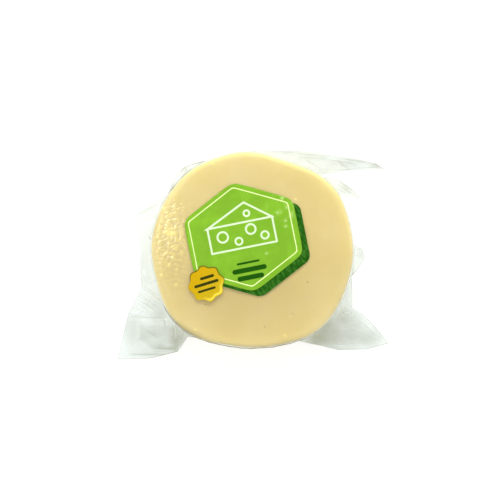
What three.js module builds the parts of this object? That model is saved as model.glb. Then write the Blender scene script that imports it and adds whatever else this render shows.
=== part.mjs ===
// A round of frying cheese in a clear vacuum bag, lying on its back with the labelled face up.
// Units are millimetres and +Z is up. The origin is the centre of the flat underside of the
// wheel, and +Y points to the upper edge of the label. The shrunken bag clings to the cheese,
// so wheel and film are one closed body, with the bag's four crumpled corners standing out
// from the side wall.

import * as THREE from 'three';

// Wheel of cheese, measured over the film
const wheelDiameter = 105;
const wheelThickness = 26.5;
const edgeRadius = 2.5;
const wallBarrel = 0.8;

// Slow swells that make the pressed wheel a little out of round: number of waves in one
// turn, height of the swell, and the angle of its first crest in degrees
const outlineSwells = [
  { waves: 1, height: 0.77, crest: 278 },
  { waves: 2, height: 0.92, crest: 0 },
  { waves: 3, height: 0.44, crest: 107 },
  { waves: 4, height: 0.95, crest: 40 },
  { waves: 5, height: 0.47, crest: 24 },
  { waves: 6, height: 0.27, crest: 45 },
  { waves: 8, height: 0.28, crest: 42 },
];

// Film of the bag
const seamHeight = 12.5;
const seamLip = 0.6;
const filmEdgeThickness = 0.9;
const filmRootThickness = 8;
const seamThickness = 1.4;
const fullReach = 14;
const pleatsPerTurn = 24;
const pleatDepth = 1.1;

// Ears, where the bag stands out from the wheel. The free edge of an ear leaves the wheel at
// the start angle, goes straight from corner to corner and is back at the end angle. x, y and
// z are the way from the wheel's side to a corner, and ears that overlap are added up.
const bagEars = [
  {
    place: 'upper right',
    start: 47.5,
    end: 90,
    corners: [
      { angle: 50, x: 10, y: 0, z: 2 },
      { angle: 55, x: 39, y: -0.5, z: 4 },
      { angle: 60, x: 39, y: 0.5, z: 4 },
      { angle: 65, x: 30.5, y: 2, z: 4 },
      { angle: 80, x: 16, y: 1.5, z: 1.5 },
    ],
  },
  {
    place: 'crumple on the right',
    start: 32.5,
    end: 45,
    corners: [
      { angle: 37.5, x: 13.5, y: -6, z: 3 },
      { angle: 40, x: 10, y: -2.5, z: 4 },
      { angle: 42.5, x: 7, y: -0.5, z: 3 },
    ],
  },
  {
    place: 'pucker on the right',
    start: 345,
    end: 362.5,
    corners: [
      { angle: 357.5, x: 5.5, y: -2, z: -2 },
      { angle: 360, x: 4, y: 0.5, z: -1 },
    ],
  },
  {
    place: 'lower right',
    start: 297.5,
    end: 345,
    corners: [
      { angle: 302.5, x: 6, y: -4, z: -1 },
      { angle: 307.5, x: 12, y: -9, z: -5 },
      { angle: 312.5, x: 23, y: -11.5, z: -7 },
      { angle: 317.5, x: 31, y: -12, z: -8 },
      { angle: 322.5, x: 21, y: -6.5, z: -7 },
      { angle: 327.5, x: 11.5, y: -4, z: -5 },
      { angle: 332.5, x: 4.5, y: -5.5, z: -3 },
    ],
  },
  {
    place: 'lower left',
    start: 197.5,
    end: 237.5,
    corners: [
      { angle: 205, x: -16, y: -10.5, z: -6 },
      { angle: 215, x: -25.5, y: -26, z: -9 },
      { angle: 225, x: -13.5, y: -17.5, z: -8 },
      { angle: 230, x: -3.5, y: -11, z: -6 },
      { angle: 232.5, x: 0, y: -1.5, z: -2 },
    ],
  },
  {
    place: 'left side',
    start: 147.5,
    end: 205,
    corners: [
      { angle: 160, x: -10.5, y: 0.5, z: 2.5 },
      { angle: 177.5, x: -5, y: -3.5, z: 0 },
      { angle: 197.5, x: -7, y: -3.5, z: -3 },
    ],
  },
  {
    place: 'fold on the upper left',
    start: 117.5,
    end: 137.5,
    corners: [{ angle: 130, x: -2, y: 2.5, z: 1 }],
  },
];

// Six sided label, printed as a light sheet over the corner of a dark one
const labelWidth = 57.4;
const labelHeight = 57.8;
const labelSide = 28.8;
const labelCornerRadius = 7.9;
const labelTilt = 11.3;
const labelCentre = { x: -4.4, y: 6.6 };
const darkSheetShift = { x: 3.9, y: -2.9 };

// Scalloped badge on the lower left of the label
const badgeRadius = 9.0;
const badgeScallop = 0.55;
const badgeScallops = 8;
const badgeTurn = 15;
const badgeCentre = { x: -23.5, y: -17.3 };

// Stickers, one on top of the other on the flat face
const stickerThickness = 0.2;
const stickerGap = 0.03;

// Fineness of the facets
const anglesPerTurn = 144;
const edgeSteps = 3;
const filmSteps = 5;
const cornerSteps = 4;
const stepsPerScallop = 8;

// Colours
const wheelColour = 0xf0dfa2;
const darkGreen = 0x3f7032;
const lightGreen = 0x8cc63c;
const badgeYellow = 0xf3bd22;

const degree = Math.PI / 180;

// Radius of the wheel at an angle: the mean radius and the sum of its swells
function wheelRadius(angle) {
  let radius = wheelDiameter / 2;
  for (const swell of outlineSwells) {
    radius += swell.height * Math.cos(swell.waves * (angle - swell.crest) * degree);
  }
  return radius;
}

function pointAt(angle, radius, height) {
  return new THREE.Vector3(
    radius * Math.cos(angle * degree),
    radius * Math.sin(angle * degree),
    height,
  );
}

// Side wall, a shallow barrel that is widest at half height
function wallPoint(angle, height) {
  const half = wheelThickness / 2;
  const fromMiddle = (height - half) / half;
  return pointAt(angle, wheelRadius(angle) - wallBarrel * fromMiddle ** 2, height);
}

// Rounded edge between the side wall and a flat face, turned from 0 at the wall to 90 degrees
// at the face. side is 1 for the upper face and -1 for the lower one.
function edgePoint(angle, turn, side) {
  const inset = edgeRadius * (1 - Math.cos(turn * degree));
  const rise = edgeRadius * Math.sin(turn * degree);
  const half = wheelThickness / 2;
  const atEdge = (half - edgeRadius) / half;
  const wall = wheelRadius(angle) - wallBarrel * atEdge ** 2;
  return pointAt(angle, wall - inset, half + side * (half - edgeRadius + rise));
}

// Way from the wheel's side to the free edge of one ear at an angle
function earReach(ear, angle) {
  const leaving = { angle: ear.start, x: 0, y: 0, z: 0 };
  const back = { angle: ear.end, x: 0, y: 0, z: 0 };
  const stops = [leaving, ...ear.corners, back];
  const reached = ear.start + THREE.MathUtils.euclideanModulo(angle - ear.start, 360);
  const next = stops.findIndex((stop) => stop.angle > reached);
  if (next < 1) {
    return new THREE.Vector3();
  }
  const from = stops[next - 1];
  const to = stops[next];
  const share = (reached - from.angle) / (to.angle - from.angle);
  return new THREE.Vector3().copy(from).lerp(new THREE.Vector3().copy(to), share);
}

// Way from the side wall to the free edge of the film at an angle
function filmReach(angle) {
  const reach = pointAt(angle, seamLip, 0);
  for (const ear of bagEars) {
    reach.add(earReach(ear, angle));
  }
  return reach;
}

// Point of the film, share 0 at the side wall and 1 at the free edge. The two layers meet in
// a hollow curve like a tent's, from further apart where the ear is long, and both wave up
// and down in pleats that follow the reach.
function filmPoint(angle, share, side) {
  const reach = filmReach(angle);
  const fullness = Math.min(1, reach.length() / fullReach);
  const rootThickness = seamThickness + (filmRootThickness - seamThickness) * fullness;
  const spread = (rootThickness - filmEdgeThickness) * (1 - share) ** 2;
  const thickness = filmEdgeThickness + spread;
  const pleat = pleatDepth * fullness * share * Math.cos(pleatsPerTurn * angle * degree);
  const point = wallPoint(angle, seamHeight).addScaledVector(reach, share);
  point.z += pleat + (side * thickness) / 2;
  return point;
}

// Outline of the body in one upright half plane, from the upper face to the lower one, as a
// list of functions of the angle
function bagProfile() {
  const half = wheelThickness / 2;
  const profile = [];
  const faceRing = (share, side) => {
    profile.push((angle) => {
      const rim = edgePoint(angle, 90, side);
      return new THREE.Vector3(rim.x * share, rim.y * share, rim.z);
    });
  };
  const edgeRing = (turn, side) => profile.push((angle) => edgePoint(angle, turn, side));
  const wallRing = (height) => profile.push((angle) => wallPoint(angle, height));
  const filmRing = (share, side) => profile.push((angle) => filmPoint(angle, share, side));

  faceRing(0.5, 1);
  for (let step = edgeSteps; step >= 0; step -= 1) {
    edgeRing((90 * step) / edgeSteps, 1);
  }
  wallRing(seamHeight + (half - edgeRadius) / 2);
  for (let step = 0; step <= filmSteps; step += 1) {
    filmRing(step / filmSteps, 1);
  }
  for (let step = filmSteps; step >= 0; step -= 1) {
    filmRing(step / filmSteps, -1);
  }
  wallRing(seamHeight - (half - edgeRadius) / 2);
  for (let step = 0; step <= edgeSteps; step += 1) {
    edgeRing((90 * step) / edgeSteps, -1);
  }
  faceRing(0.5, -1);
  return profile;
}

// Closed body: every ring of the profile carried once round the axis, and a fan of triangles
// round the centre of each face
function closedBody(profile) {
  const positions = [];
  const triangles = [];
  for (const ring of profile) {
    for (let step = 0; step < anglesPerTurn; step += 1) {
      const point = ring((360 * step) / anglesPerTurn);
      positions.push(point.x, point.y, point.z);
    }
  }
  const vertexAt = (ring, step) => ring * anglesPerTurn + (step % anglesPerTurn);
  for (let ring = 0; ring < profile.length - 1; ring += 1) {
    for (let step = 0; step < anglesPerTurn; step += 1) {
      const upper = vertexAt(ring, step);
      const upperNext = vertexAt(ring, step + 1);
      const lower = vertexAt(ring + 1, step);
      const lowerNext = vertexAt(ring + 1, step + 1);
      triangles.push(upper, lower, lowerNext);
      triangles.push(upper, lowerNext, upperNext);
    }
  }
  const top = positions.length / 3;
  positions.push(0, 0, wheelThickness);
  positions.push(0, 0, 0);
  for (let step = 0; step < anglesPerTurn; step += 1) {
    triangles.push(top, vertexAt(0, step), vertexAt(0, step + 1));
    const last = profile.length - 1;
    triangles.push(top + 1, vertexAt(last, step + 1), vertexAt(last, step));
  }
  const geometry = new THREE.BufferGeometry();
  geometry.setAttribute('position', new THREE.Float32BufferAttribute(positions, 3));
  geometry.setIndex(triangles);
  geometry.computeVertexNormals();
  return geometry;
}

// Six corners of the label, with its two long sides upright before it is tilted
function labelCorners() {
  const halfWidth = labelWidth / 2;
  const halfHeight = labelHeight / 2;
  const halfSide = labelSide / 2;
  const tip = new THREE.Vector2(0, halfHeight);
  const shoulder = new THREE.Vector2(halfWidth, halfSide);
  const right = [tip, shoulder, new THREE.Vector2(halfWidth, -halfSide)];
  const left = right.map((corner) => corner.clone().negate());
  return right.concat(left);
}

// Shape with straight sides and its corners rounded by arcs, drawn clockwise
function roundedShape(corners, radius) {
  const shape = new THREE.Shape();
  corners.forEach((corner, index) => {
    const before = corners[(index + corners.length - 1) % corners.length];
    const after = corners[(index + 1) % corners.length];
    const toBefore = before.clone().sub(corner).normalize();
    const toAfter = after.clone().sub(corner).normalize();
    const halfAngle = Math.acos(toBefore.dot(toAfter)) / 2;
    const inward = toBefore.clone().add(toAfter).normalize();
    const centre = corner.clone().addScaledVector(inward, radius / Math.sin(halfAngle));
    const sweep = Math.PI - 2 * halfAngle;
    const middle = Math.atan2(-inward.y, -inward.x);
    shape.absarc(centre.x, centre.y, radius, middle + sweep / 2, middle - sweep / 2, true);
  });
  shape.closePath();
  return shape;
}

// Round shape whose radius swells and dips once for each scallop
function scallopedShape() {
  const points = [];
  const steps = badgeScallops * stepsPerScallop;
  for (let step = 0; step < steps; step += 1) {
    const angle = (360 * step) / steps;
    const wave = Math.cos(badgeScallops * (angle - badgeTurn) * degree);
    const radius = badgeRadius + badgeScallop * wave;
    points.push(new THREE.Vector2(
      radius * Math.cos(angle * degree),
      radius * Math.sin(angle * degree),
    ));
  }
  return new THREE.Shape(points);
}

function finish(colour, roughness) {
  return new THREE.MeshStandardMaterial({ color: colour, roughness, metalness: 0 });
}

function namedMesh(name, geometry, material) {
  const mesh = new THREE.Mesh(geometry, material);
  mesh.name = name;
  return mesh;
}

// Thin sticker on the flat face. level counts the stickers that lie under it.
function sticker(name, shape, colour, level) {
  const geometry = new THREE.ExtrudeGeometry(shape, {
    depth: stickerThickness,
    bevelEnabled: false,
    curveSegments: cornerSteps,
  });
  const mesh = namedMesh(name, geometry, finish(colour, 0.35));
  mesh.position.z = wheelThickness + stickerGap + level * (stickerThickness + stickerGap);
  return mesh;
}

function buildLabel(name, colour, level, shift) {
  const mesh = sticker(name, roundedShape(labelCorners(), labelCornerRadius), colour, level);
  mesh.position.x = labelCentre.x + shift.x;
  mesh.position.y = labelCentre.y + shift.y;
  mesh.rotation.z = labelTilt * degree;
  return mesh;
}

function buildBadge() {
  const mesh = sticker('badge', scallopedShape(), badgeYellow, 2);
  mesh.position.x = badgeCentre.x;
  mesh.position.y = badgeCentre.y;
  return mesh;
}

const pack = new THREE.Group();
pack.add(namedMesh('bag', closedBody(bagProfile()), finish(wheelColour, 0.4)));
pack.add(buildLabel('label_back', darkGreen, 0, darkSheetShift));
pack.add(buildLabel('label_front', lightGreen, 1, { x: 0, y: 0 }));
pack.add(buildBadge());

export default pack;
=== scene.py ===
"""A round of frying cheese in a clear vacuum bag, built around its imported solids.

The file is laid out as an add-on and is run as a script: every piece, or group of like
pieces, has an operator of its own, and main() calls them in order. Meshes are in metres.
"""

import math
from collections import namedtuple

import bpy
import numpy as np
from bpy.props import FloatProperty, FloatVectorProperty, IntProperty, PointerProperty
from bpy.types import Operator, Panel, PropertyGroup
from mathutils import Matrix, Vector


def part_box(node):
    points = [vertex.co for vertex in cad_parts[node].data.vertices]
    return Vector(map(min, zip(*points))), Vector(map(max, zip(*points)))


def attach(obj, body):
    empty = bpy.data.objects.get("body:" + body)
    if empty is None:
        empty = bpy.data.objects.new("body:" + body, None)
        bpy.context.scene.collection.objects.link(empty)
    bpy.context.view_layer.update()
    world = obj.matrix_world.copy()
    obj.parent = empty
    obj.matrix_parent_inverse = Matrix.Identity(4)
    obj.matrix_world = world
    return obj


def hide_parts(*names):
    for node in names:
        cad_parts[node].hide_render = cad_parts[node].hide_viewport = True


bl_info = {
    "name": "Vacuum packed cheese round",
    "version": (1, 0, 0),
    "blender": (4, 5, 0),
    "location": "View3D > Sidebar > Cheese",
    "description": "Builds a round of cheese in shrunken film with its label and badge",
    "category": "Add Mesh",
}

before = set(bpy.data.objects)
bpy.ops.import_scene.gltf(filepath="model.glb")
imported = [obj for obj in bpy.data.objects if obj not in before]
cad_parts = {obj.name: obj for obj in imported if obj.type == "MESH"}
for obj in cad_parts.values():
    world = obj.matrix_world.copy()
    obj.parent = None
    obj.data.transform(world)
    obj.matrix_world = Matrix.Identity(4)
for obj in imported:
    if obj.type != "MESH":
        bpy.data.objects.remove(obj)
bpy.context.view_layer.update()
WHEEL_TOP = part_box("bag")[1][2]

MM = 0.001
FULL_TURN = 2 * math.pi

# Slow swells of the pressed wheel: waves in one turn, height in mm, angle of a crest in degrees
Swell = namedtuple("Swell", "waves height crest")
OUTLINE_SWELLS = (
    Swell(1, 0.77, 278),
    Swell(2, 0.92, 0),
    Swell(3, 0.44, 107),
    Swell(4, 0.95, 40),
    Swell(5, 0.47, 24),
    Swell(6, 0.27, 45),
    Swell(8, 0.28, 42),
)

# Ears of the bag: the angles in degrees where the free edge leaves the wheel and comes back,
# its corners between them, each with the way from the wheel's side in mm, and the mesh's steps
# along the free edge and across each layer
Corner = namedtuple("Corner", "angle x y z")
Ear = namedtuple("Ear", "name start end corners along across")
BAG_EARS = (
    Ear("upper_right", 47.5, 90, (
        Corner(50, 10, 0, 2), Corner(55, 39, -0.5, 4), Corner(60, 39, 0.5, 4),
        Corner(65, 30.5, 2, 4), Corner(80, 16, 1.5, 1.5)), 230, 84),
    Ear("right_crumple", 32.5, 45, (
        Corner(37.5, 13.5, -6, 3), Corner(40, 10, -2.5, 4), Corner(42.5, 7, -0.5, 3)), 110, 44),
    Ear("right_pucker", 345, 362.5, (
        Corner(357.5, 5.5, -2, -2), Corner(360, 4, 0.5, -1)), 90, 30),
    Ear("lower_right", 297.5, 345, (
        Corner(302.5, 6, -4, -1), Corner(307.5, 12, -9, -5), Corner(312.5, 23, -11.5, -7),
        Corner(317.5, 31, -12, -8), Corner(322.5, 21, -6.5, -7), Corner(327.5, 11.5, -4, -5),
        Corner(332.5, 4.5, -5.5, -3)), 240, 84),
    Ear("left", 147.5, 237.5, (
        Corner(160, -10.5, 0.5, 2.5), Corner(177.5, -5, -3.5, 0), Corner(197.5, -7, -3.5, -3),
        Corner(205, -16, -10.5, -6), Corner(215, -25.5, -26, -9), Corner(225, -13.5, -17.5, -8),
        Corner(230, -3.5, -11, -6), Corner(232.5, 0, -1.5, -2)), 380, 84),
    Ear("upper_left_fold", 117.5, 146, (
        Corner(130, -2, 2.5, 1), Corner(139, -1.2, 1.0, 0.5)), 120, 20),
)

WALL_BARREL = 0.8 * MM
SEAM_HEIGHT = 12.5 * MM
SEAM_LIP = 0.6 * MM
SEAM_THICKNESS = 1.4 * MM
EAR_ROOT_THICKNESS = 8 * MM
EAR_EDGE_THICKNESS = 0.14 * MM
# Reach from which on an ear has its full folds and thickness
FULL_REACH = 14 * MM
PLEATS_PER_TURN = 24
PLEAT_DEPTH = 1.1 * MM

# Small blisters of the film on the face: places and spreads in mm
BLISTERS = ((-29.2, -41.0), (-47.0, -12.8), (37.8, -39.3), (-42.8, -7.3), (-39.1, -17.7),
            (-45.2, 21.5), (17.0, -44.0), (-20.0, 44.5), (22.4, 26.3))
BLISTER_SPREAD = (0.8, 0.6)

# Straight creases in the ears: both ends, height and half width in mm, and how much painted
# highlight lies along them, partly whitened film, below zero where painted shade lies instead
Crease = namedtuple("Crease", "x1 y1 x2 y2 height width white")
EAR_CREASES = (
    Crease(-65, -33.0, -52.5, -33.8, 1.0, 1.3, 1.0),
    Crease(-64.5, -35.0, -44, -35.6, -0.5, 0.9, -0.5),
    Crease(-63.5, -28.0, -54.0, -33.0, 0.9, 1.5, 1.0),
    Crease(-57.5, -20.0, -47, -27.6, 1.0, 1.5, 1.0),
    Crease(-60.5, -24.0, -51, -29.5, 0.8, 1.6, 0.7),
    Crease(-59.0, -26.0, -50, -31.5, -0.5, 0.8, -0.3),
    Crease(-58, -18.6, -50.5, -23.5, 0.6, 0.8, 0.6),
    Crease(-55.5, -52.2, -39.5, -52.9, 0.4, 0.7, 0.7),
    Crease(-66, -55.0, -42, -54.8, -0.4, 1.1, -0.5),
    Crease(-41.2, -38.5, -40.9, -47, -0.4, 0.5, -0.5),
    Crease(-40.2, -38.5, -40.0, -47, 0.4, 0.5, 0.6),
    Crease(-47.0, -36.4, -46.5, -39.6, 0.5, 0.5, 1.0),
    Crease(-45.9, -36.4, -45.3, -40.2, -0.5, 0.5, -0.9),
    Crease(-38.9, -52.2, -36.5, -48.3, 0.4, 0.6, 1.0),
    Crease(-56.5, -41.5, -48.5, -46.5, 0.3, 1.0, -0.2),
    Crease(39.5, -49.8, 53.5, -50.6, 0.35, 0.6, 0.6),
    Crease(47.5, -32.8, 52.5, -33.0, 0.5, 0.5, 0.9),
    Crease(45.5, -34.4, 51, -34.7, 0.4, 0.5, 0.6),
    Crease(54, -33.2, 69, -47.4, 0.6, 1.7, 0.25),
    Crease(40, -42.2, 58, -42.4, -0.15, 0.8, -0.04),
    Crease(45, -20, 46.5, -31, 0.4, 0.8, 0.3),
    Crease(5, 52.6, 26, 51.0, 0.2, 0.7, -0.45),
    Crease(18, 51.0, 44, 48.3, 0.2, 0.8, -0.3),
    Crease(42, 48.4, 62, 45.2, 0.2, 0.8, -0.5),
    Crease(42, 41.2, 56, 42.4, 0.2, 0.7, -0.5),
    Crease(54, 42.6, 68, 43.2, 0.2, 0.7, -0.4),
    Crease(24, 48.2, 40, 47.6, 0.6, 1.2, -0.2),
    Crease(36, 47.6, 53, 45.2, 0.8, 1.2, -0.25),
    Crease(28, 47.0, 36, 42.4, -0.6, 1.0, -0.4),
    Crease(26, 44.6, 33.5, 42.0, 0.7, 0.8, 0.8),
    Crease(44, 47.0, 50.5, 41.8, 0.8, 1.2, -0.3),
    Crease(52, 44.0, 66, 43.6, 0.6, 0.8, 0.4),
    Crease(43.5, 37.6, 52, 30.4, 0.6, 0.7, -0.35),
    Crease(45, 34.0, 56, 26.8, -0.5, 0.6, -0.35),
    Crease(48.5, 35.2, 51, 28.4, 0.5, 0.5, 0.5),
    Crease(-53.9, 7.6, -52.4, 5.0, 0.5, 0.6, -1.0),
    Crease(-61, 17.8, -47.5, 25.2, 0.4, 1.1, -0.4),
    Crease(53, -6.5, 52.4, -20, 0.3, 0.6, -0.5),
    Crease(55.5, 0.8, 60, 0.2, 0.4, 0.6, -0.5),
)

# Soft oval: its centre and its spreads in mm, and its strength
Tone = namedtuple("Tone", "x y across up depth")
# Places where the ears are greyer: painted shade, most of it the wheel's shadow on the lower ears,
# partly film that lies double and brine, with a depth below zero where the film is clearer
EAR_TONES = (
    Tone(33.0, -46.5, 8.0, 4.7, 0.38),
    Tone(43.3, -46.0, 14.0, 8.0, 0.35),
    Tone(38.0, -39.0, 5.0, 4.0, 0.22),
    Tone(48.0, -34.5, 7.5, 4.5, 0.26),
    Tone(63.0, -45.5, 9.0, 5.2, 0.20),
    Tone(48.5, -23.5, 3.5, 9.5, 0.12),
    Tone(-38.0, -46.0, 6.0, 7.0, 0.36),
    Tone(-55.8, -38.8, 4.0, 3.5, -0.14),
    Tone(-44.0, -51.2, 8.0, 2.8, 0.25),
    Tone(-43.5, -46.8, 2.6, 3.0, -0.10),
    Tone(-43.5, -50.0, 3.8, 1.4, -0.19),
    Tone(-44.5, -52.4, 6.0, 0.9, 0.10),
    Tone(-47.0, -34.0, 3.0, 3.0, 0.12),
    Tone(-32.5, -43.0, 4.0, 3.0, 0.20),
    Tone(-55.0, -42.0, 12.0, 8.0, 0.15),
    Tone(-65.0, -37.0, 5.0, 6.0, 0.12),
    Tone(-50.1, -29.2, 6.5, 5.5, 0.15),
    Tone(50.0, 45.2, 11.0, 3.2, 0.23),
    Tone(11.0, 53.0, 6.0, 2.0, 0.20),
    Tone(17.0, 50.8, 8.0, 1.5, 0.15),
    Tone(-55.0, -54.0, 10.0, 2.4, 0.13),
    Tone(-63.5, -45.5, 3.5, 8.0, 0.07),
    Tone(29.3, 48.5, 9.0, 3.5, 0.13),
    Tone(65.2, 44.4, 4.5, 2.0, 0.36),
    Tone(36.5, 40.6, 6.5, 2.4, 0.12),
    Tone(54.5, -39.0, 5.0, 3.2, 0.12),
    Tone(49.6, 31.8, 4.5, 3.8, 0.15),
    Tone(-56.9, -10.4, 3.2, 11.0, 0.07),
    Tone(57.4, -2.1, 2.6, 3.7, 0.10),
    Tone(-35.5, 42.0, 2.5, 3.0, 0.2),
    Tone(-42.5, 33.0, 3.5, 3.0, 0.25),
    Tone(-28.0, 46.5, 3.0, 1.5, 0.22),
)
# Corners of the panel of the lower left ear where a flap of film lies under it, in mm
FLAP_PANEL = ((-58.4, -38.6), (-59.0, -47.0), (-51.1, -52.7), (-39.7, -52.7), (-38.6, -40.2))
FLAP_TONE = 0.11
# Grey line along the free edge: its depth of tone and its width in mm
EDGE_TONE = 0.45
EDGE_WIDTH = 0.45
# Where the free edge is hardly seen, with the share of its tone that is left out
CLEAR_EDGES = (
    Tone(-58, 2, 12, 30, 1.0),
    Tone(-47, 27, 4, 5, 0.7),
    Tone(-67, -46, 5, 12, 0.6),
    Tone(58, -3, 6, 8, 0.85),
    Tone(51, -22, 4, 11, 0.6),
    Tone(-38, 39, 9, 10, 0.9),
)
# Where the film on the face is crinkled, with its share of the full depth
CRINKLED_PATCHES = (Tone(-41.5, 10, 9, 14, 1.0), Tone(-42, -10, 8, 12, 0.35))

# Stretch of the wheel's rim: its strength, the angle of its middle in degrees, and the two
# cosines of the way from there between which it rises from nothing
Stretch = namedtuple("Stretch", "strength middle low high")

# Numbers of rows in a wheel's mesh, from the middle of its face to the middle of its underside
Rows = namedtuple("Rows", "face edge wall lower_edge underside")
WHEEL_COLUMNS = 640
# Shares of the way to the rim at which the rows of an underside begin and end
UNDERSIDE_SHARES = (0.05, 0.96)


class CheesePackSizes(PropertyGroup):
    """Sizes of the wheel, its film and its stickers."""

    wheel_diameter: FloatProperty(
        name="Wheel diameter", description="Mean width of the wheel over the film",
        default=0.105, unit="LENGTH")
    wheel_thickness: FloatProperty(
        name="Wheel thickness", description="Height of the wheel over the film",
        default=WHEEL_TOP, unit="LENGTH")
    edge_radius: FloatProperty(
        name="Edge radius", description="Rounding between the faces and the side",
        default=0.0025, unit="LENGTH")
    film_gap: FloatProperty(
        name="Film gap", description="Brine between the film and the cheese",
        default=0.0003, unit="LENGTH")
    crinkle_depth: FloatProperty(
        name="Crinkle depth", description="Depth of the fine wrinkles in the film on the face",
        default=0.00008, unit="LENGTH")
    crease_depth: FloatProperty(
        name="Crease depth", description="Depth of the random creases in the bag's ears",
        default=0.0010, unit="LENGTH")
    face_swell: FloatProperty(
        name="Face swell", description="Height of the slow unevenness of the pressed faces",
        default=0.00018, unit="LENGTH")
    label_width: FloatProperty(
        name="Label width", description="Distance between the label's long sides",
        default=0.0574, unit="LENGTH")
    label_height: FloatProperty(
        name="Label height", description="Distance between the label's upper and lower tips",
        default=0.0578, unit="LENGTH")
    label_side: FloatProperty(
        name="Label side", description="Length of each long side of the label",
        default=0.0288, unit="LENGTH")
    label_tilt: FloatProperty(
        name="Label tilt", description="Turn of the label on the face, anticlockwise",
        default=math.radians(11.3), unit="ROTATION")
    badge_radius: FloatProperty(
        name="Badge radius", description="Mean radius of the scalloped badge",
        default=0.0090, unit="LENGTH")
    badge_scallop: FloatProperty(
        name="Badge scallop", description="Height of the scallops round the badge",
        default=0.00055, unit="LENGTH")
    badge_scallops: IntProperty(
        name="Badge scallops", description="Number of scallops round the badge", default=8)
    badge_turn: FloatProperty(
        name="Badge turn", description="Angle of the badge's first scallop",
        default=math.radians(15), unit="ROTATION")


class CheesePackColours(PropertyGroup):
    """Colours of the cheese, the film and the print, as linear values."""

    cheese: FloatVectorProperty(
        name="Cheese", description="Colour of the pressed cheese",
        default=(0.72, 0.547, 0.215), size=3, subtype="COLOR")
    cheese_pale: FloatVectorProperty(
        name="Pale cheese", description="Colour of the paler clouds in the cheese",
        default=(0.76, 0.587, 0.270), size=3, subtype="COLOR")
    # Also used for painted shade in the crinkles' troughs and at the key lamp's side of the rim
    cheese_deep: FloatVectorProperty(
        name="Deep cheese", description="Colour of the cheese in the middle of the face",
        default=(0.60, 0.442, 0.175), size=3, subtype="COLOR")
    # Painted light: the glow of the rim and the glints of the crinkles and blisters
    cheese_painted_glow: FloatVectorProperty(
        name="Bright cheese", description="Colour of the cheese where light glows in its rim",
        default=(0.97, 0.790, 0.275), size=3, subtype="COLOR")
    film: FloatVectorProperty(
        name="Film", description="Tint of light that passes one layer of film",
        default=(0.945, 0.973, 0.955), size=3, subtype="COLOR")
    # Tint of the film's painted shade
    film_grey: FloatVectorProperty(
        name="Grey film", description="Tint of light that passes film in the deepest tone",
        default=(0.54, 0.570, 0.515), size=3, subtype="COLOR")
    # Olive tint where the film's painted shade is deepest, partly brine
    film_deep_shade: FloatVectorProperty(
        name="Brine", description="Tint of light that passes brine caught in the film",
        default=(0.53, 0.520, 0.340), size=3, subtype="COLOR")
    film_haze: FloatVectorProperty(
        name="Film haze", description="Colour of the film's slight milkiness",
        default=(0.89, 0.94, 0.94), size=3, subtype="COLOR")
    light_green: FloatVectorProperty(
        name="Light green", description="Field of the label's upper sheet",
        default=(0.178, 0.382, 0.0215), size=3, subtype="COLOR")
    dark_green: FloatVectorProperty(
        name="Dark green", description="Field of the label's lower sheet and its bars",
        default=(0.009, 0.078, 0.001), size=3, subtype="COLOR")
    leaf_green: FloatVectorProperty(
        name="Leaf green", description="Lighter strokes on the label's lower sheet",
        default=(0.042, 0.165, 0.017), size=3, subtype="COLOR")
    white_print: FloatVectorProperty(
        name="White print", description="White drawing on the label",
        default=(0.62, 0.76, 0.50), size=3, subtype="COLOR")
    line_print: FloatVectorProperty(
        name="Line print", description="Pale line inside the label's edge",
        default=(0.72, 0.86, 0.37), size=3, subtype="COLOR")
    badge_yellow: FloatVectorProperty(
        name="Badge yellow", description="Lower right of the badge",
        default=(0.515, 0.358, 0.006), size=3, subtype="COLOR")
    badge_amber: FloatVectorProperty(
        name="Badge amber", description="Upper left of the badge",
        default=(0.545, 0.331, 0.001), size=3, subtype="COLOR")
    # Painted highlight
    badge_lit: FloatVectorProperty(
        name="Lit badge", description="Lifted edge of the badge where it catches the light",
        default=(0.75, 0.60, 0.05), size=3, subtype="COLOR")
    badge_line: FloatVectorProperty(
        name="Badge line", description="Dark line along the badge's upper edge",
        default=(0.13, 0.10, 0.004), size=3, subtype="COLOR")
    badge_ink: FloatVectorProperty(
        name="Badge ink", description="Bars on the badge",
        default=(0.030, 0.036, 0.002), size=3, subtype="COLOR")
    floor: FloatVectorProperty(
        name="Floor", description="Plain pale floor",
        default=(0.42, 0.42, 0.42), size=3, subtype="COLOR")


# Shapes worked out as whole arrays


def wheel_radius(angle, mean_radius):
    """Radius of the wheel at each angle: the mean radius plus a cosine for every swell."""
    radius = np.full_like(angle, mean_radius)
    for swell in OUTLINE_SWELLS:
        radius += swell.height * MM * np.cos(swell.waves * (angle - math.radians(swell.crest)))
    return radius


def around_axis(angle, radius, height):
    """Points at an angle, a radius and a height: radius times cosine and sine, then height."""
    height = np.broadcast_to(height, radius.shape)
    return np.stack([radius * np.cos(angle), radius * np.sin(angle), height], axis=-1)


def ear_reach(ear, angle):
    """Way from the wheel's side to an ear's free edge: a lip outwards plus the ear's own way.

    The ear's own way is nothing at its start and end and straight from corner to corner.
    """
    stops = [ear.start, *(corner.angle for corner in ear.corners), ear.end]
    ways = np.zeros((len(stops), 3))
    ways[1:-1] = [(corner.x, corner.y, corner.z) for corner in ear.corners]
    own = np.stack([np.interp(np.degrees(angle), stops, way) for way in ways.T], axis=-1) * MM
    return own + around_axis(angle, np.full_like(angle, SEAM_LIP), 0.0)


def crowded_steps(start, end, count, density):
    """Steps from start to end that crowd where density is high.

    The running sum of the density over a fine scale is cut into equal parts.
    """
    fine = np.linspace(start, end, 6001)
    weight = density(fine)
    total = np.concatenate([[0], np.cumsum((weight[1:] + weight[:-1]) / 2)])
    return np.interp(np.linspace(0, total[-1], count), total, fine)


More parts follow.
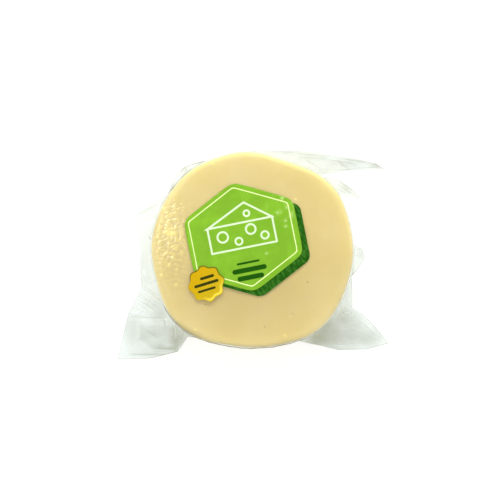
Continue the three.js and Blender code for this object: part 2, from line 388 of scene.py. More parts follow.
def wave_field(points, wavelength, seed, count=14):
    """Smooth random field of about -1 to 1: sine waves in random directions, added up."""
    rng = np.random.default_rng(seed)
    field = np.zeros(points.shape[:-1])
    for _ in range(count):
        direction = rng.normal(size=points.shape[-1])
        direction /= np.linalg.norm(direction)
        length = wavelength * rng.uniform(0.7, 1.4)
        field += np.sin(points @ direction * (FULL_TURN / length) + rng.uniform(0, FULL_TURN))
    return field / math.sqrt(count)


def triangle_wave(phase):
    """Wave of -1 to 1 with straight flanks, one turn for each whole step of the phase."""
    return 4 * np.abs(phase - np.floor(phase + 0.5)) - 1


def crease_field(points, wavelength, seed, count=6):
    """Faceted random field of about -1 to 1: triangle waves in random directions, added up.

    The flat flanks add up to facets that meet in sharp creases. A slow warp of the points
    bends the creases, and each wave fades in and out over a few of its lengths.
    """
    rng = np.random.default_rng(seed)
    warp = np.stack([wave_field(points, 4 * wavelength, seed + 100 + axis, 6)
                     for axis in range(points.shape[-1])], axis=-1)
    warped = points + 0.22 * wavelength * warp
    field = np.zeros(points.shape[:-1])
    for index in range(count):
        direction = rng.normal(size=points.shape[-1])
        direction /= np.linalg.norm(direction)
        length = wavelength * rng.uniform(0.7, 1.5)
        phase = warped @ direction / length + rng.uniform(0, 1)
        presence = 0.5 + 0.6 * wave_field(points, 2.6 * wavelength, seed + 200 + index, 5)
        field += triangle_wave(phase) * np.clip(presence, 0, 1)
    return field / math.sqrt(count)


def bell(points, centre, spread):
    """Bell curve round a centre, with a spread for each axis: exp of minus the square."""
    away = (points - np.array(centre)) / np.array(spread)
    return np.exp(-np.sum(away**2, axis=-1))


def oval(flat, tone):
    """A tone's depth at flat points in mm: its strength times a bell curve round its centre."""
    return tone.depth * bell(flat, (tone.x, tone.y), (tone.across, tone.up))


def hump(way, width):
    """Bell curve of a plain way: exp of minus the square of the way over the width."""
    return np.exp(-((way / width) ** 2))


def smooth_step(value, low, high):
    """Rises from 0 to 1 between low and high as three squares less two cubes."""
    share = np.clip((value - low) / (high - low), 0, 1)
    return share * share * (3 - 2 * share)


def line_ridge(flat, crease):
    """Share of a straight ridge: 1 on its line, falling straight to 0 at its foot.

    It also fades from its middle towards its ends, as a half turn of a cosine.
    """
    start = np.array([crease.x1, crease.y1])
    way = np.array([crease.x2, crease.y2]) - start
    length = np.linalg.norm(way)
    along = (flat - start) @ way / length**2
    across = (flat - start) @ np.array([-way[1], way[0]]) / length
    fade = np.cos(np.pi * np.clip(along - 0.5, -0.5, 0.5)) ** 0.5
    return fade * np.clip(1 - np.abs(across) / crease.width, 0, 1)


def face_swell(points, height):
    """Slow unevenness of the upper face, shared by cheese, film and stickers."""
    return height * wave_field(points[..., :2], 34 * MM, seed=11, count=9)


def rim_distance(points, angle, sizes):
    """Way in mm from the wheel's outline inwards: its radius less the point's own, or 0."""
    radius = wheel_radius(angle, sizes.wheel_diameter / 2)
    return np.maximum((radius - np.hypot(points[..., 0], points[..., 1])) / MM, 0)


def rim_share(angle, stretch):
    """Strength of a stretch of the rim at each angle, and 0 away from it.

    It steps smoothly between two values of the cosine of the way from the stretch's middle.
    """
    nearness = np.cos(angle - math.radians(stretch.middle))
    return stretch.strength * smooth_step(nearness, stretch.low, stretch.high)


def crinkle_strength(points):
    """How crinkled the film is on the left of the face: a sum of ovals, held at 1."""
    flat = points[..., :2] / MM
    return np.clip(sum(oval(flat, patch) for patch in CRINKLED_PATCHES), 0, 1)


def face_wrinkles(points):
    """Wormlike wrinkles of about -1 to 1 in the face: two sizes of wave field.

    The points are squeezed across and stretched upwards first, which lays the wrinkles down.
    """
    squeezed = points * np.array([0.95, 1.25, 0.0])
    coarse = wave_field(squeezed, 2.9 * MM, seed=2, count=18)
    return coarse + 0.6 * wave_field(squeezed, 1.7 * MM, seed=7)


def blister_field(points):
    """Small blisters of the film on the face: a sum of bell curves of height 1."""
    return sum(bell(points[..., :2] / MM, place, BLISTER_SPREAD) for place in BLISTERS)


def grid_normals(points):
    """Unit normals of a grid whose columns close on themselves.

    The normal is the cross product of the differences down the rows and along the columns.
    """
    down = np.gradient(points, axis=0)
    along = (np.roll(points, -1, axis=1) - np.roll(points, 1, axis=1)) / 2
    normals = np.cross(down, along)
    length = np.linalg.norm(normals, axis=-1, keepdims=True)
    return normals / np.maximum(length, 1e-12)


def grid_bend(points):
    """How sharply a grid turns at each point, in radians per mm.

    It is the change of the normal over the way between neighbours, the greater of the one
    down the rows and the one along the columns. It is 0 in the rows next to the poles.
    """
    normals = grid_normals(points)
    shortest_way = 0.05
    bends = []
    for axis in (0, 1):
        turned = np.roll(normals, -1, axis) - np.roll(normals, 1, axis)
        moved = np.roll(points, -1, axis) - np.roll(points, 1, axis)
        way = np.maximum(np.linalg.norm(moved, axis=-1) / MM, shortest_way)
        bends.append(np.linalg.norm(turned, axis=-1) / way)
    bend = np.maximum(*bends)
    bend[:2] = 0
    bend[-2:] = 0
    return bend


def half_wheel_rows(sizes, angle, inset, shares, edge_rows, side):
    """Rows of one half of the wheel, from the centre of a face to the end of its edge.

    The face runs out in the given shares of its rim, and the edge is a quarter circle. side
    is 1 for the upper half and -1 for the lower one.
    """
    half = sizes.wheel_thickness / 2
    edge = sizes.edge_radius - inset
    at_edge = (half - sizes.edge_radius) / half
    wall = wheel_radius(angle, sizes.wheel_diameter / 2) - WALL_BARREL * at_edge**2 - inset
    turn = np.linspace(math.pi / 2, 0, edge_rows)
    radius = np.concatenate([
        shares[:, None] * (wall - edge)[None, :],
        wall[None, :] - edge * (1 - np.cos(turn))[:, None],
    ])
    rise = np.concatenate([np.full(len(shares), edge), edge * np.sin(turn)])
    return around_axis(angle, radius, half + side * (half - sizes.edge_radius + rise)[:, None])


def wall_rows(sizes, angle, inset, heights):
    """Rows of the side wall at the given heights.

    The wall is a shallow barrel: its radius falls with the square of the way from half height.
    """
    half = sizes.wheel_thickness / 2
    height = heights[:, None]
    from_middle = (height - half) / half
    radius = wheel_radius(angle, sizes.wheel_diameter / 2) - inset - WALL_BARREL * from_middle**2
    return around_axis(angle, radius, height)


def wheel_grid(sizes, angle, inset, shares, heights, rows):
    """Grid of a whole wheel: its profile from pole to pole, carried once round the axis.

    The upper half has rows at the given shares of the way to the rim, and the wall at the
    given heights.
    """
    upper = half_wheel_rows(sizes, angle, inset, shares, rows.edge, 1)
    underside = np.linspace(*UNDERSIDE_SHARES, rows.underside)
    lower = half_wheel_rows(sizes, angle, inset, underside, rows.lower_edge, -1)[::-1]
    return np.concatenate([upper, wall_rows(sizes, angle, inset, heights), lower])


# Meshes


def closed_faces(rows, columns):
    """Quads between neighbouring rows and columns, and a fan round each of two poles.

    The grid's vertices come first, row by row, and then the first and the last pole.
    """
    row, column = np.meshgrid(np.arange(rows - 1), np.arange(columns), indexing="ij")
    after = (column + 1) % columns
    quads = np.stack([row * columns + column, (row + 1) * columns + column,
                      (row + 1) * columns + after, row * columns + after], axis=-1)
    ring = np.arange(columns)
    nearby = (ring + 1) % columns
    pole = rows * columns
    last = (rows - 1) * columns
    first_fan = np.stack([np.full(columns, pole), ring, nearby], axis=-1)
    last_fan = np.stack([np.full(columns, pole + 1), last + nearby, last + ring], axis=-1)
    return quads.reshape(-1, 4), np.concatenate([first_fan, last_fan])


def enclosed_volume(vertices, quads, fans):
    """Volume inside a closed mesh, below zero where its faces look inwards.

    It is a sixth of the sum of the triple products of all its triangles.
    """
    triangles = np.concatenate([quads[:, (0, 1, 2)], quads[:, (0, 2, 3)], fans])
    first, second, third = (vertices[triangles[:, corner]] for corner in range(3))
    return np.sum(first * np.cross(second, third)) / 6


def add_closed_piece(name, grid, first_pole, last_pole, material, values):
    """Mesh of a grid that closes round its columns and is shut by two poles.

    values are arrays of one number for each grid point, and they become attributes of the
    mesh. The poles take the mean of the rows next to them.
    """
    rows, columns = grid.shape[:2]
    quads, fans = closed_faces(rows, columns)
    vertices = np.concatenate([grid.reshape(-1, 3), [first_pole, last_pole]])
    if enclosed_volume(vertices, quads, fans) < 0:
        quads = quads[:, ::-1]
        fans = fans[:, ::-1]
    mesh = bpy.data.meshes.new(name)
    mesh.from_pydata(vertices.tolist(), [], quads.tolist() + fans.tolist())
    mesh.polygons.foreach_set("use_smooth", np.ones(len(mesh.polygons), dtype=bool))
    for key, value in values.items():
        value = np.broadcast_to(value, (rows, columns))
        ends = [value[0].mean(), value[-1].mean()]
        layer = mesh.attributes.new(key, "FLOAT", "POINT")
        layer.data.foreach_set("value", np.concatenate([value.ravel(), ends]).astype(np.float32))
    mesh.materials.append(material)
    mesh.update()
    piece = bpy.data.objects.new(name, mesh)
    bpy.context.scene.collection.objects.link(piece)
    return piece


def hand_over(piece, node):
    """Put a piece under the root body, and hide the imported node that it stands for."""
    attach(piece, "root")
    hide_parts(node)


# Materials


class NodeSheet:
    """Short calls that add and link the shader nodes of one material."""

    def __init__(self, name):
        """Empty sheet for a new material of that name, with its output node alone."""
        self.material = bpy.data.materials.new(name)
        self.material.use_nodes = True
        self.tree = self.material.node_tree
        self.tree.nodes.clear()
        self.output = self.tree.nodes.new("ShaderNodeOutputMaterial")

    def put(self, target, value):
        """Link a socket, or set a plain number or colour on one."""
        if isinstance(value, bpy.types.NodeSocket):
            self.tree.links.new(value, target)
        elif target.type == "RGBA":
            target.default_value = (*tuple(value)[:3], 1.0)
        else:
            target.default_value = value

    def add(self, kind, options=None, **inputs):
        """New node of a kind, with its options, and its inputs by name with _ for a space."""
        node = self.tree.nodes.new("ShaderNode" + kind)
        for key, value in (options or {}).items():
            setattr(node, key, value)
        for key, value in inputs.items():
            self.put(node.inputs[key.replace("_", " ")], value)
        return node

    def mapped(self, scale=(1, 1, 1), turn=0.0):
        """Object coordinates, turned about the upright axis and then scaled."""
        point = self.add("TexCoord").outputs["Object"]
        turned = self.add("Mapping", Vector=point, Rotation=(0, 0, turn)).outputs["Vector"]
        return self.add("Mapping", Vector=turned, Scale=scale).outputs["Vector"]

    def noise(self, scale, detail, roughness, vector=None):
        """Noise of about 0 to 1 with scale lumps in a metre, by detail and roughness."""
        node = self.add("TexNoise", Vector=vector or self.mapped(), Scale=scale, Detail=detail,
                        Roughness=roughness)
        return node.outputs["Fac"]

    def value(self, key):
        """Attribute of the mesh, and 0 on a mesh that has none of that name."""
        node = self.add("Attribute", {"attribute_name": key, "attribute_type": "GEOMETRY"})
        return node.outputs["Fac"]

    def math(self, operation, *values):
        """Result of one operation on numbers or sockets, by its name in capitals."""
        node = self.add("Math", {"operation": operation})
        for socket, value in zip(node.inputs, values):
            self.put(socket, value)
        return node.outputs["Value"]

    def ramp(self, value, low, high, start=0.0, end=1.0):
        """Carry a value from the range low to high over to start to end, held at both ends."""
        node = self.add("MapRange", {"interpolation_type": "SMOOTHSTEP"}, Value=value)
        for key, number in (("From Min", low), ("From Max", high), ("To Min", start),
                            ("To Max", end)):
            node.inputs[key].default_value = number
        return node.outputs["Result"]

    def inside(self, key):
        """1 where a signed distance in mm is below zero, with a soft edge."""
        softness = 0.06
        return self.ramp(self.value(key), -softness, softness, 1.0, 0.0)

    def mix(self, share, first, second):
        """Colour that runs from the first to the second as the share goes from 0 to 1."""
        node = self.add("Mix", {"data_type": "RGBA"})
        self.put(node.inputs[0], share)
        self.put(node.inputs[6], first)
        self.put(node.inputs[7], second)
        return node.outputs[2]

    def blend(self, share, first, second):
        """Shader that runs from the first to the second as the share goes from 0 to 1."""
        node = self.add("MixShader", Fac=share)
        self.put(node.inputs[1], first)
        self.put(node.inputs[2], second)
        return node.outputs["Shader"]

    def bump(self, height, strength, distance, normal=None):
        """Normal that is tilted by a height map, over another normal where one is given."""
        node = self.add("Bump", Height=height, Strength=strength, Distance=distance)
        if normal is not None:
            self.put(node.inputs["Normal"], normal)
        return node.outputs["Normal"]

    def finish(self, shader):
        """Link the shader to the material's output, and give the material."""
        self.tree.links.new(shader, self.output.inputs["Surface"])
        return self.material


def scaled(colour, factor):
    """Colour with every channel times a factor."""
    return tuple(factor * channel for channel in colour)


def cheese_material(colours):
    """Pressed cheese: warm pale yellow with paler clouds, small pores and a waxy depth; painted
    shade and glow.
    """
    sheet = NodeSheet("pressed_cheese")
    clouds = sheet.noise(48, 5.0, 0.55)
    grain = sheet.noise(900, 3.0, 0.6)
    colour = sheet.mix(sheet.ramp(clouds, 0.35, 0.68), colours.cheese, colours.cheese_pale)
    # deep: a deeper face below its middle, with painted shade in the crinkles' troughs and at the
    # rim
    colour = sheet.mix(sheet.value("deep"), colour, colours.cheese_deep)
    # Painted glow of the rim and painted glints of the crinkles and blisters
    colour = sheet.mix(sheet.value("bright"), colour, colours.cheese_painted_glow)
    # Painted shade in the small holes, darker where they are deeper
    pit = sheet.ramp(sheet.value("pit"), 0.15, 1.0, 0.0, 0.6)
    colour = sheet.mix(pit, colour, scaled(colours.cheese, 0.55))
    specks = sheet.ramp(grain, 0.35, 0.8, 0.0, 0.10)
    colour = sheet.mix(specks, colour, colours.cheese_pale)
    relief = sheet.bump(grain, 0.06, 0.1 * MM)
    shader = sheet.add(
        "BsdfPrincipled", Base_Color=colour, Roughness=0.5, Normal=relief,
        Subsurface_Weight=0.35, Subsurface_Radius=(0.70, 0.62, 0.28), Subsurface_Scale=4 * MM,
        Specular_IOR_Level=0.35)
    return sheet.finish(shader.outputs["BSDF"])


def film_material(colours):
    """Clear film: mostly lets light through, with a little milkiness and a sharp gloss.

    The attribute shade makes it greyer as painted shade, white makes it milkier as painted glow
    and highlight, bend milkier along creases, and dull blurs its gloss. free is 0 where it clings
    and 1 where it hangs free. The gloss follows the usual fifth power of the way that the surface
    faces away.
    """
    sheet = NodeSheet("clear_film")
    free = sheet.value("free")
    crinkle = sheet.value("crinkle")
    broad = sheet.noise(120, 2.0, 0.5)
    fine = sheet.noise(620, 3.0, 0.55)
    ripples = sheet.noise(1300, 2.0, 0.5)
    depth = sheet.math("MULTIPLY_ADD", free, 0.6, 0.15)
    normal = sheet.bump(fine, 0.12, 0.2 * MM)
    normal = sheet.bump(sheet.math("MULTIPLY", broad, depth), 0.5, 0.8 * MM, normal)
    normal = sheet.bump(sheet.math("MULTIPLY", ripples, crinkle), 0.5, 0.3 * MM, normal)

    clouds = sheet.ramp(broad, 0.35, 0.7, 0.5, 1.5)
    haze_and_highlight = sheet.math("MULTIPLY", sheet.ramp(free, 0, 1, 0.012, 0.035), clouds)
    # white adds painted glow and painted highlight to the film's haze
    haze_and_highlight = sheet.math("MULTIPLY_ADD", sheet.value("white"), 0.6, haze_and_highlight)
    haze_and_highlight = sheet.math("MULTIPLY_ADD", sheet.ramp(sheet.value("bend"), 0.1, 1.0), 0.12, haze_and_highlight)

    uneven = sheet.ramp(broad, 0.3, 0.75, 0.85, 1.15)
    shade = sheet.math("MULTIPLY", sheet.value("shade"), uneven)
    shade = sheet.math("MINIMUM", shade, 1.0)
    # Painted shade: shade turns the tint grey, and olive where it is deepest
    tint = sheet.mix(shade, colours.film, colours.film_grey)
    tint = sheet.mix(sheet.math("MULTIPLY", shade, shade), tint, colours.film_deep_shade)

    through = sheet.add("BsdfTransparent", Color=tint).outputs["BSDF"]
    front = sheet.add("BsdfDiffuse", Color=colours.film_haze, Normal=normal).outputs["BSDF"]
    behind = sheet.add("BsdfTranslucent", Color=colours.film_haze, Normal=normal).outputs["BSDF"]
    body = sheet.blend(haze_and_highlight, through, sheet.blend(0.5, front, behind))

    roughness = sheet.ramp(free, 0, 1, 0.10, 0.33)
    roughness = sheet.math("MULTIPLY_ADD", sheet.value("dull"), 0.45, roughness)
    gloss = sheet.add("BsdfGlossy", {"distribution": "GGX"}, Color=(1, 1, 1), Normal=normal,
                      Roughness=roughness).outputs["BSDF"]
    facing = sheet.add("LayerWeight", Blend=0.5, Normal=normal).outputs["Facing"]
    share = sheet.math("MULTIPLY_ADD", sheet.math("POWER", facing, 5.0), 0.85, 0.055)
    share = sheet.math("MULTIPLY", share, sheet.ramp(free, 0, 1, 1.0, 0.5))
    share = sheet.math("MULTIPLY", share, sheet.math("MULTIPLY_ADD", crinkle, 0.6, 1.0))
    return sheet.finish(sheet.blend(share, body, gloss))


def shared_film(colours):
    """The film's material, made by the first piece that asks for it."""
    return bpy.data.materials.get("clear_film") or film_material(colours)


def print_material(name, colour_nodes, colours):
    """Printed sticker: a field of colour under a satin varnish with a faint grain."""
    sheet = NodeSheet(name)
    colour = colour_nodes(sheet, colours)
    grain = sheet.bump(sheet.noise(1500, 2.0, 0.5), 0.05, 0.1 * MM)
    normal = sheet.bump(sheet.noise(160, 3.0, 0.5), 0.2, 0.4 * MM, grain)
    shader = sheet.add(
        "BsdfPrincipled", Base_Color=colour, Roughness=0.3, Normal=normal, Coat_Weight=0.02,
        Coat_Roughness=0.16, Specular_IOR_Level=0.05)
    return sheet.finish(shader.outputs["BSDF"])


def light_field(sheet, colours):
    """Light green field with the white line, the white shapes, the dark bars and a painted sheen.
    """
    tone = sheet.ramp(sheet.noise(110, 4.0, 0.6), 0.4, 0.75)
    colour = sheet.mix(tone, colours.light_green, scaled(colours.light_green, 1.2))
    colour = sheet.mix(sheet.inside("dark_print"), colour, colours.dark_green)
    colour = sheet.mix(sheet.inside("line_print"), colour, colours.line_print)
    colour = sheet.mix(sheet.inside("white_print"), colour, colours.white_print)
    # Painted sheen: paler green where the pucker and the bubbles catch the light
    return sheet.mix(sheet.value("sheen"), colour, colours.line_print)


def dark_field(sheet, colours):
    """Dark green field with slanting leafy strokes and a pale cut margin."""
    slant = sheet.mapped((1.0, 0.28, 1.0), math.radians(-38))
    strokes = sheet.ramp(sheet.noise(900, 2.0, 0.6, slant), 0.42, 0.66)
    colour = sheet.mix(strokes, colours.dark_green, colours.leaf_green)
    margin = sheet.ramp(sheet.value("inset"), 0.12, 0.26, 0.6, 0.0)
    return sheet.mix(margin, colour, colours.cheese_pale)


def badge_field(sheet, colours):
    """Amber running to yellow across the badge, with a dark upper line, dark bars and a painted
    highlight.
    """
    slope = sheet.ramp(sheet.value("slope"), -0.9, 0.7)
    colour = sheet.mix(slope, colours.badge_amber, colours.badge_yellow)
    tone = sheet.ramp(sheet.noise(400, 3.0, 0.55), 0.4, 0.75, 0.0, 0.35)
    colour = sheet.mix(tone, colour, colours.badge_yellow)
    colour = sheet.mix(sheet.inside("dark_print"), colour, colours.badge_ink)
    colour = sheet.mix(sheet.inside("outline"), colour, colours.badge_line)
    # Painted highlight along the lifted lower right edge
    return sheet.mix(sheet.value("lit"), colour, colours.badge_lit)


def floor_material(colours):
    """Pale floor lit softly from inside, like a light table, so that shadows stay faint."""
    sheet = NodeSheet("pale_floor")
    tone = sheet.ramp(sheet.noise(3.0, 2.0, 0.5), 0.3, 0.7)
    colour = sheet.mix(tone, colours.floor, scaled(colours.floor, 0.98))
    shader = sheet.add("BsdfPrincipled", Base_Color=colour, Roughness=0.9,
                       Specular_IOR_Level=0.1, Emission_Color=(1, 1, 1), Emission_Strength=0.62)
    return sheet.finish(shader.outputs["BSDF"])


# Cheese

# Small holes that show in the face: place, radius and depth in mm
Pit = namedtuple("Pit", "x y radius depth")
SEEN_PITS = (
    Pit(28.7, -16.7, 0.5, 0.5),
    Pit(6.3, -39.9, 0.45, 0.5),
    Pit(-24.0, -27.9, 0.7, 0.4),
    Pit(20.4, -33.4, 0.7, 0.25),
)
DEEPEST_PIT = 0.5
# Seeded faint holes: how many, and the ranges of their radii and depths in mm
FAINT_PITS = 26
FAINT_RADII = (0.35, 0.9)
FAINT_DEPTHS = (0.05, 0.14)
# Way in mm from the rim inwards that has no faint holes
PIT_MARGIN = 8

CHEESE_ROWS = Rows(face=100, edge=10, wall=14, lower_edge=8, underside=16)
UNEVENNESS = 0.05 * MM
UNEVEN_LENGTH = 12 * MM
# The deeper colour, darkest a little below the middle of the face, and the painted highlight at
# the brightest spot of the crinkled patch
FACE_MIDDLE = Tone(-4, -15, 35, 23, 1.0)
CRINKLE_HEART = Tone(-41.6, 8.8, 2.6, 2.0, 0.75)
# Painted highlight on the crinkles' crests and on the blisters, painted shade in their troughs
CRINKLE_GLOW = 0.75
CRINKLE_DEPTH = 0.3
BLISTER_GLOW = 0.8
# Painted glow of the rim all round, and the painted glow and the painted darkening at its very
# edge that the stretch facing the key lamp adds; their widths are in mm, and the side has only a
# share of the glow
RIM_GLOW = 0.25
KEY_GLOW = 0.33
KEY_DEPTH = 0.5
KEY_STRETCH = Stretch(1.0, 85, -0.1, 0.6)
RIM_GLOW_WIDTH = 4.2
KEY_DEPTH_WIDTH = 1.6
SIDE_GLOW = 0.4


def pit_depth(points, sizes):
    """Depth in mm of the small holes in the upper face, each a bell curve.

    The seen ones come first, then a seeded scatter of fainter ones.
    """
    rng = np.random.default_rng(29)
    pits = list(SEEN_PITS)
    reach = sizes.wheel_diameter / MM / 2 - PIT_MARGIN
    for _ in range(FAINT_PITS):
        radius = reach * math.sqrt(rng.uniform())
        angle = rng.uniform(0, FULL_TURN)
        pits.append(Pit(radius * math.cos(angle), radius * math.sin(angle),
                        rng.uniform(*FAINT_RADII), rng.uniform(*FAINT_DEPTHS)))
    depth = np.zeros(points.shape[:-1])
    for pit in pits:
        near = bell(points[..., :2] / MM, (pit.x, pit.y), (pit.radius, pit.radius))
        depth = np.maximum(depth, pit.depth * near)
    return depth


def cheese_crowding(share):
    """Density of the cheese's rows: 1, and 3.2 where the crinkled patch shows."""
    return 1 + 2.2 * (smooth_step(share, 0.55, 0.62) - smooth_step(share, 0.82, 0.9))


def build_cheese(sizes, colours):
    """Wheel of cheese inside the film: face, edge, barrel wall, edge and underside.

    The profile is carried once round the axis. The face then takes the shared swell and its
    small holes, and the side a gentle unevenness that fades out at the floor.
    """
    rows = CHEESE_ROWS
    inset = sizes.film_gap
    top = sizes.wheel_thickness
    angle = np.linspace(0, FULL_TURN, WHEEL_COLUMNS, endpoint=False)
    shares = crowded_steps(0, 1, rows.face, cheese_crowding)[1:-1]
    heights = np.linspace(top - sizes.edge_radius, sizes.edge_radius, rows.wall)[1:-1]
    points = wheel_grid(sizes, angle, inset, shares, heights, rows)
    height = points[..., 2]
    on_top = smooth_step(height, top / 2, top - 2 * MM)
    off_floor = smooth_step(height, 0.6 * MM, 3 * MM)
    pits = pit_depth(points, sizes) * (height > top - 2 * MM)
    uneven = UNEVENNESS * wave_field(points, UNEVEN_LENGTH, seed=5) * off_floor
    swell = on_top * face_swell(points, sizes.face_swell)
    points = points + grid_normals(points) * (swell + uneven)[..., None]
    points[..., 2] -= pits * MM

    flat = points[..., :2] / MM
    from_rim = rim_distance(points, angle, sizes)
    towards_key = rim_share(angle, KEY_STRETCH)
    crinkle = crinkle_strength(points)
    wrinkle = face_wrinkles(points)
    # deep: a deeper face below its middle, plus painted shade at the key side's rim and in crinkle
    # troughs
    deep = oval(flat, FACE_MIDDLE) + KEY_DEPTH * towards_key * hump(from_rim, KEY_DEPTH_WIDTH)
    deep += CRINKLE_DEPTH * crinkle * smooth_step(wrinkle, 0.1, -1.0)
    # Painted glow of the rim, painted glints of the crinkles, of their heart and of the blisters
    bright = (RIM_GLOW + KEY_GLOW * towards_key) * np.exp(-from_rim / RIM_GLOW_WIDTH)
    bright += CRINKLE_GLOW * crinkle * smooth_step(wrinkle, -0.4, 1.0)
    bright += oval(flat, CRINKLE_HEART) + BLISTER_GLOW * blister_field(points)
    bright *= SIDE_GLOW + (1 - SIDE_GLOW) * on_top
    middle = face_swell(np.zeros(3), sizes.face_swell)
    piece = add_closed_piece(
        "cheese", points, (0, 0, top - inset + middle), (0, 0, inset), cheese_material(colours),
        {"pit": pits / DEEPEST_PIT, "deep": on_top * deep, "bright": bright})
    hand_over(piece, "bag")


# Film

FILM_ROWS = Rows(face=66, edge=10, wall=9, lower_edge=7, underside=9)
# Rows round the seam, and how far they reach above and below it
SEAM_ROWS = 15
SEAM_REACH = 1.2 * MM
# Widths of the seam's lip and of the painted shade along it, partly brine, and where that shade is
SEAM_WIDTH = 0.4 * MM
SEAM_SHADE_WIDTH = 0.8 * MM
SEAM_SHADES = (Stretch(1.2, 258, 0.62, 0.88), Stretch(0.4, 138, 0.94, 0.99))
BLISTER_HEIGHT = 0.06 * MM
# Faceted folds of the film on the side: depth, length, how much they are drawn out upwards,
# and the level that is taken off them and the lowest that is left, as shares of the depth
GATHER_DEPTH = 0.22 * MM
GATHER_LENGTH = 5 * MM
GATHER_DRAW = (1, 1, 0.35)
GATHER_LEVEL = 0.2
GATHER_LOWEST = -0.6
# Painted glow of the film along the rim, with what two stretches of it add, and widths in mm, and
# the painted highlight on the crests of the crinkles
FILM_RIM_GLOW = 0.32
FILM_RIM_GLOW_WIDTH = 1.25
UPPER_FILM_GLOW = Stretch(0.12, 90, -0.9, 0.1)
RIGHT_FILM_GLOW = Stretch(0.22, 325, 0.82, 0.97)
RIGHT_FILM_GLOW_WIDTH = 3
CRINKLE_FILM_HIGHLIGHT = 0.15
# Middle and spread in degrees of the film's crinkled stretch of the rim
CRINKLED_ANGLE = 172
CRINKLED_SPREAD = 32
# Painted shade along the lower rim, away from the key lamp, partly brine caught under the film,
# with its widths in mm
LOWER_RIM_SHADE = Stretch(0.75, 262, 0.6, 0.85)
LOWER_RIM_SHADE_WIDTH = 1.3
CORNER_RIM_SHADE = Stretch(0.4, 232, 0.985, 0.999)
CORNER_RIM_SHADE_WIDTH = 2.4
# Width in mm of the stretched film along the rim, which has a dull gloss
DULL_WIDTH = 3.8


def film_crowding(share):
    """Density of the film's rows: low in the plain middle of the face and higher outside."""
    return 0.3 + smooth_step(share, 0.45, 0.6)


def film_side_crowding(turn):
    """Density of the film's columns: 1, and up to 2.6 on the left, where it is crinkled."""
    return 1 + 1.6 * hump(np.degrees(turn) - CRINKLED_ANGLE, CRINKLED_SPREAD)


def film_heights(sizes):
    """Heights of the rows on the film's side, in three even runs with a close one at the seam."""
    top = sizes.wheel_thickness - sizes.edge_radius
    above = SEAM_HEIGHT + SEAM_REACH
    below = SEAM_HEIGHT - SEAM_REACH
    return np.concatenate([
        np.linspace(top, above, FILM_ROWS.wall)[1:-1],
        np.linspace(above, below, SEAM_ROWS),
        np.linspace(below, sizes.edge_radius, FILM_ROWS.wall)[1:-1],
    ])


def build_film_wrap(sizes, colours):
    """Film shrunk on the wheel: the wheel's own profile with a seam round its side.

    On the face it moves in and out by wormlike wrinkles where it is crinkled, and on the side
    it gathers in faceted folds.
    """
    top = sizes.wheel_thickness
    angle = crowded_steps(0, FULL_TURN, WHEEL_COLUMNS + 1, film_side_crowding)[:-1]
    shares = crowded_steps(0, 1, FILM_ROWS.face, film_crowding)[1:-1]
    points = wheel_grid(sizes, angle, 0, shares, film_heights(sizes), FILM_ROWS)
    height = points[..., 2]
    normals = grid_normals(points)
    on_top = smooth_step(height, top / 2, top - 1 * MM)
    on_wall = smooth_step(height, 0.5 * MM, 4 * MM) * (1 - smooth_step(height, top - 5 * MM, top))
    crinkle = crinkle_strength(points) * on_top
    wrinkle = face_wrinkles(points)
    gathers = crease_field(points * np.array(GATHER_DRAW), GATHER_LENGTH, seed=9, count=8)
    move = sizes.crinkle_depth * crinkle * wrinkle
    move += BLISTER_HEIGHT * blister_field(points) * on_top
    move += GATHER_DEPTH * on_wall * np.maximum(gathers - GATHER_LEVEL, GATHER_LOWEST)
    move += on_top * face_swell(points, sizes.face_swell)
    move += SEAM_LIP * hump(height - SEAM_HEIGHT, SEAM_WIDTH)

    from_rim = rim_distance(points, angle, sizes)
    # white: painted glow along the rim and painted highlight on the crests of the crinkles
    white = (FILM_RIM_GLOW + rim_share(angle, UPPER_FILM_GLOW)) * np.exp(-from_rim / FILM_RIM_GLOW_WIDTH)
    white += rim_share(angle, RIGHT_FILM_GLOW) * np.exp(-from_rim / RIGHT_FILM_GLOW_WIDTH)
    white *= smooth_step(height, top - 5 * MM, top - 2 * MM)
    white += CRINKLE_FILM_HIGHLIGHT * crinkle**2 * smooth_step(wrinkle, 0.4, 1.2)
    # Painted shade along the lower rim, partly brine, and along the seam
    brine_and_shade = rim_share(angle, LOWER_RIM_SHADE) * hump(from_rim, LOWER_RIM_SHADE_WIDTH)
    brine_and_shade += rim_share(angle, CORNER_RIM_SHADE) * hump(from_rim, CORNER_RIM_SHADE_WIDTH)
    seam_shade = sum(rim_share(angle, stretch) for stretch in SEAM_SHADES)
    shade = seam_shade * hump(height - SEAM_HEIGHT, SEAM_SHADE_WIDTH) + brine_and_shade * on_top
    dull = hump(from_rim, DULL_WIDTH) * (1 - crinkle)

    points = points + normals * move[..., None]
    points[..., 2] = np.maximum(points[..., 2], 0)
    middle = face_swell(np.zeros(3), sizes.face_swell)
    piece = add_closed_piece(
        "film_wrap", points, (0, 0, top + middle), (0, 0, 0), shared_film(colours),
        {"crinkle": crinkle, "shade": shade, "white": white, "dull": dull})
    hand_over(piece, "bag")


# Random creases of the ears, from broad to fine: share of the full depth, length in mm, seed
Folds = namedtuple("Folds", "share length seed")
EAR_FOLDS = (Folds(1.3, 21, 3), Folds(0.35, 9, 4), Folds(0.07, 3.6, 6))
# Creases that each layer of an ear has on its own: depth and length
LAYER_CREASE_DEPTH = 0.35 * MM
LAYER_CREASE_LENGTH = 9 * MM
# Least height of an ear over the floor
EAR_CLEARANCE = 0.5 * MM
# How far an ear's root reaches into the wheel
EAR_ROOT_DEPTH = 1.0 * MM
# Share of the way out at which an ear's folds are full, the one out to which its film clings,
# and the one where its mesh has even steps
FULL_FOLDS_SHARE = 0.35
CLINGING_SHARE = 0.05
EVEN_STEPS_SHARE = 0.7
# Straight creases: how sharply their painted tone falls off, and the share of it painted grey
CREASE_FALL = 1.5
CREASE_GREY = 0.5


